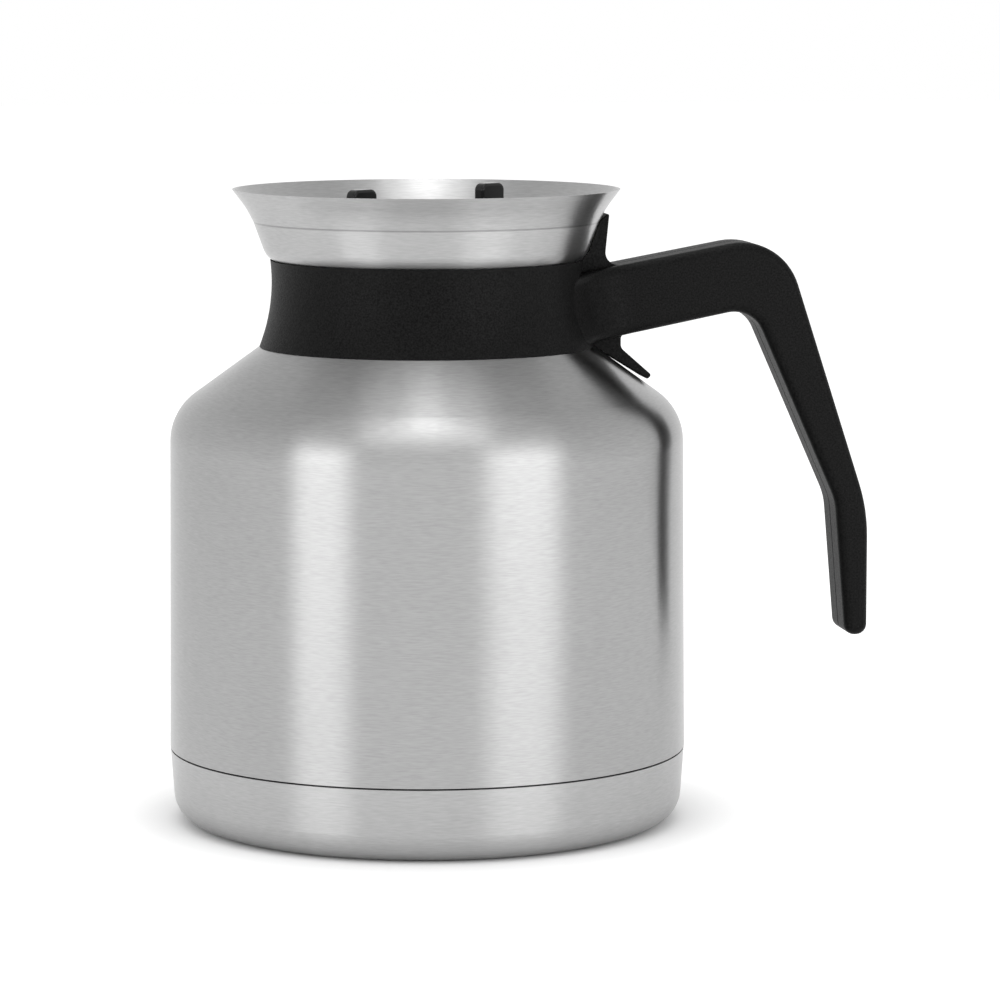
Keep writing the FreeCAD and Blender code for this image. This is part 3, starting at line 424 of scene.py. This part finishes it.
far_glow.inputs["From Max"].default_value = GLOW_FULL
far_glow.inputs["To Max"].default_value = GLOW_LIGHT
path = tree.nodes.new("ShaderNodeLightPath")
share = tree.nodes.new("ShaderNodeMath")
share.operation = "MULTIPLY_ADD"
share.inputs[1].default_value = GLOW_MIRRORED
glow = tree.nodes.new("ShaderNodeMath")
glow.operation = "MULTIPLY"
tree.links.new(path.outputs["Is Glossy Ray"], share.inputs[0])
tree.links.new(path.outputs["Is Camera Ray"], share.inputs[2])
tree.links.new(place.outputs["Object"], distance.inputs[0])
tree.links.new(distance.outputs["Value"], far_glow.inputs["Value"])
tree.links.new(far_glow.outputs["Result"], glow.inputs[0])
tree.links.new(share.outputs["Value"], glow.inputs[1])
tree.links.new(glow.outputs["Value"], shader.inputs["Emission Strength"])
floor_mesh.materials.append(floor_paint)


# Lamps: two upright soft boxes in front, a wide one above the camera, and a broad one and a strip overhead.
# They are cloth-fronted boxes, dimmer towards their upright edges, and all face the middle of the vessel.
VIEW_ANGLE = math.radians(9.0)
VESSEL_MIDDLE = 0.09
TOP_FADE_START = 0.3


def soft_box(name, turn, rise, distance, width, height, brightness, fade, top_share):
    """Area light that faces the middle of the vessel, from an angle off the camera's side and a rise above
    the floor; its power gives the wanted brightness over its area, which fades towards its upright edges
    and falls to a share of itself at the top."""
    lamp = bpy.data.lights.new(name, "AREA")
    lamp.shape = "RECTANGLE"
    lamp.size = width
    lamp.size_y = height
    lamp.energy = brightness * math.pi * width * height
    lamp.use_nodes = True
    cloth = lamp.node_tree
    spot = cloth.nodes.new("ShaderNodeNewGeometry")
    split = cloth.nodes.new("ShaderNodeSeparateXYZ")
    aside = cloth.nodes.new("ShaderNodeMath")
    aside.operation = "SUBTRACT"
    aside.inputs[1].default_value = 0.5
    off = cloth.nodes.new("ShaderNodeMath")
    off.operation = "ABSOLUTE"
    edge = cloth.nodes.new("ShaderNodeMapRange")
    edge.interpolation_type = "SMOOTHSTEP"
    edge.inputs["From Min"].default_value = 0.5 - fade
    edge.inputs["From Max"].default_value = 0.5
    edge.inputs["To Min"].default_value = 1.0
    edge.inputs["To Max"].default_value = 0.0
    top = cloth.nodes.new("ShaderNodeMapRange")
    top.interpolation_type = "SMOOTHSTEP"
    top.inputs["From Min"].default_value = TOP_FADE_START
    top.inputs["To Min"].default_value = 1.0
    top.inputs["To Max"].default_value = top_share
    both = cloth.nodes.new("ShaderNodeMath")
    both.operation = "MULTIPLY"
    cloth.links.new(spot.outputs["Parametric"], split.inputs["Vector"])
    cloth.links.new(split.outputs["X"], aside.inputs[0])
    cloth.links.new(aside.outputs["Value"], off.inputs[0])
    cloth.links.new(off.outputs["Value"], edge.inputs["Value"])
    cloth.links.new(split.outputs["Y"], top.inputs["Value"])
    cloth.links.new(edge.outputs["Result"], both.inputs[0])
    cloth.links.new(top.outputs["Result"], both.inputs[1])
    cloth.links.new(both.outputs["Value"], cloth.nodes["Emission"].inputs["Strength"])
    box = bpy.data.objects.new(name, lamp)
    bearing = math.radians(turn) - VIEW_ANGLE - math.pi / 2
    lift = math.radians(rise)
    box.location = (distance * math.cos(lift) * math.cos(bearing),
                    distance * math.cos(lift) * math.sin(bearing),
                    VESSEL_MIDDLE + distance * math.sin(lift))
    box.rotation_euler = (math.pi / 2 - lift, 0, bearing + math.pi / 2)
    box.visible_camera = False
    bpy.context.scene.collection.objects.link(box)


soft_box("left_box", turn=-44.5, rise=12, distance=0.75, width=0.51, height=0.5,
         brightness=2.5, fade=0.35, top_share=0.1)
soft_box("right_box", turn=42.5, rise=12, distance=0.75, width=0.66, height=0.5,
         brightness=2.5, fade=0.35, top_share=0.1)
soft_box("front_box", turn=0, rise=54, distance=1.5, width=1.7, height=0.6,
         brightness=1.5, fade=0.22, top_share=1.0)
soft_box("top_box", turn=0, rise=88, distance=1.7, width=1.6, height=1.6,
         brightness=1.6, fade=0.5, top_share=1.0)
soft_box("top_strip", turn=0, rise=93, distance=1.6, width=0.5, height=1.0,
         brightness=1.6, fade=0.5, top_share=1.0)


# Camera: a long lens a little above the rim, turned nine degrees off the front. Its place was fitted to the
# ellipses of the rim, the collar, the seam and the base.
CAMERA_DISTANCE = 1.2488
CAMERA_HEIGHT = 0.2435
CAMERA_ASIDE = 0.02063
CAMERA_PITCH = math.radians(6.992)
CAMERA_LENS = 160.2
SENSOR_WIDTH = 36.0

camera = bpy.data.cameras.new("camera")
camera.lens = CAMERA_LENS
camera.sensor_width = SENSOR_WIDTH
camera_stand = bpy.data.objects.new("camera", camera)
camera_stand.location = (CAMERA_ASIDE * math.cos(VIEW_ANGLE) - CAMERA_DISTANCE * math.sin(VIEW_ANGLE),
                         -CAMERA_ASIDE * math.sin(VIEW_ANGLE) - CAMERA_DISTANCE * math.cos(VIEW_ANGLE),
                         CAMERA_HEIGHT)
camera_stand.rotation_euler = (math.pi / 2 - CAMERA_PITCH, 0, -VIEW_ANGLE)
bpy.context.scene.collection.objects.link(camera_stand)
bpy.context.scene.camera = camera_stand
bpy.context.scene.view_settings.view_transform = "Standard"
